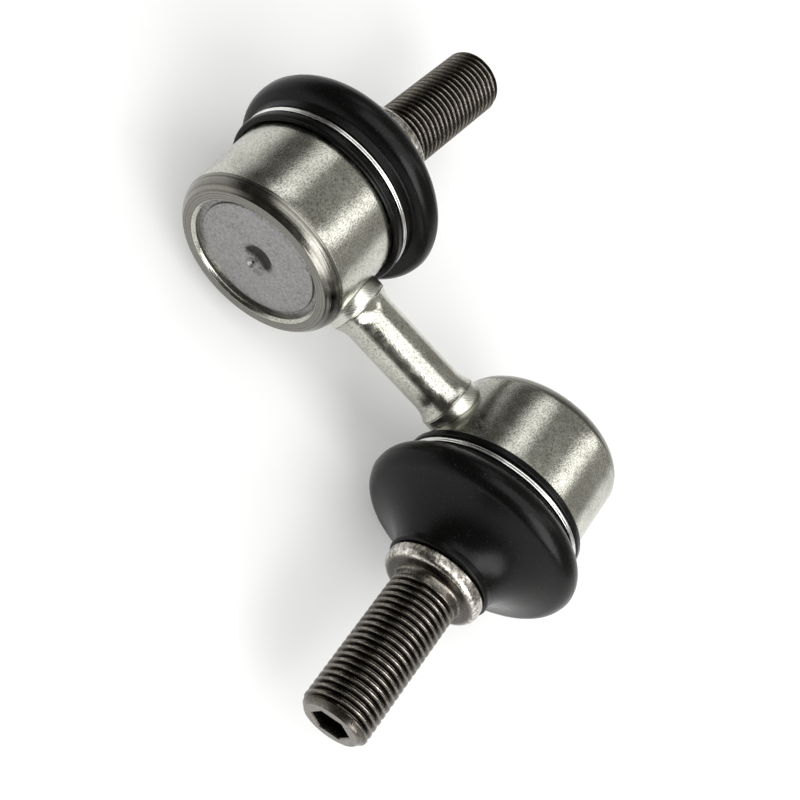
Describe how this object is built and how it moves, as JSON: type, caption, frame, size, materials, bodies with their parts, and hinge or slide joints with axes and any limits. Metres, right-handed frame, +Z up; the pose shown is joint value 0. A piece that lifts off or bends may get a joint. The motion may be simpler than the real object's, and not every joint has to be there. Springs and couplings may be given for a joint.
{
  "type": "stabilizer link",
  "caption": "Short stabilizer link: a round rod between sealed ball joints in turned steel housings, with rubber boots and threaded studs that face opposite ways.",
  "frame": {"origin": "middle of the rod, half way between the two housing axes", "axes": "+X along the rod towards the lower end, +Y along the housing axes towards the upper stud, +Z up out of the plane of the rod and studs"},
  "size_m": [0.0957, 0.111, 0.0397],
  "materials": {
    "plated_steel": "bright zinc plate over turned steel",
    "weld_steel": "ground weld, bright",
    "cap_steel": "matte pressed steel",
    "dark_steel": "phosphated, worn bright on the edges",
    "wire": "bright spring wire",
    "ring_steel": "plain",
    "rubber": "satin black moulded rubber",
    "seat_plastic": "natural acetal"
  },
  "bodies": {
    "link": {"rod": "plated_steel", "upper_weld": "weld_steel", "lower_weld": "weld_steel", "upper_housing": "plated_steel", "lower_housing": "plated_steel", "upper_end_cap": "cap_steel", "lower_end_cap": "cap_steel", "upper_seat_ring": "seat_plastic", "lower_seat_ring": "seat_plastic", "upper_seat_cup": "seat_plastic", "lower_seat_cup": "seat_plastic", "upper_clip": "wire", "lower_clip": "wire"},
    "upper_boot": {"upper_boot": "rubber"},
    "upper_neck": {"upper_neck_ring": "ring_steel"},
    "upper_stud": {"upper_ball_stud": "dark_steel"},
    "lower_boot": {"lower_boot": "rubber"},
    "lower_neck": {"lower_neck_ring": "ring_steel"},
    "lower_stud": {"lower_ball_stud": "dark_steel"}
  },
  "joints": [
    {"name": "upper_swing_up", "type": "hinge", "parent": "link", "child": "upper_boot", "pos_m": [-0.0284, 0.003, 0], "axis": [1, 0, 0], "range_deg": [-12.4, 17.6], "deforming": ["upper_boot"]},
    {"name": "upper_swing_in", "type": "hinge", "parent": "upper_boot", "child": "upper_neck", "pos_m": [-0.0284, 0.003, 0], "axis": [0, -0.0454, -0.999], "range_deg": [-20.8, 9.2], "deforming": ["upper_boot"]},
    {"name": "upper_stud_spin", "type": "hinge", "parent": "upper_neck", "child": "upper_stud", "pos_m": [-0.0284, 0.003, 0], "axis": [0.1011, 0.9939, -0.0451], "continuous": true},
    {"name": "lower_swing_up", "type": "hinge", "parent": "link", "child": "lower_boot", "pos_m": [0.0284, -0.003, 0], "axis": [-1, 0, 0], "range_deg": [-15, 15], "deforming": ["lower_boot"]},
    {"name": "lower_swing_in", "type": "hinge", "parent": "lower_boot", "child": "lower_neck", "pos_m": [0.0284, -0.003, 0], "axis": [0, 0, -1], "range_deg": [-15, 15], "deforming": ["lower_boot"]},
    {"name": "lower_stud_spin", "type": "hinge", "parent": "lower_neck", "child": "lower_stud", "pos_m": [0.0284, -0.003, 0], "axis": [0, -1, 0], "continuous": true}
  ]
}
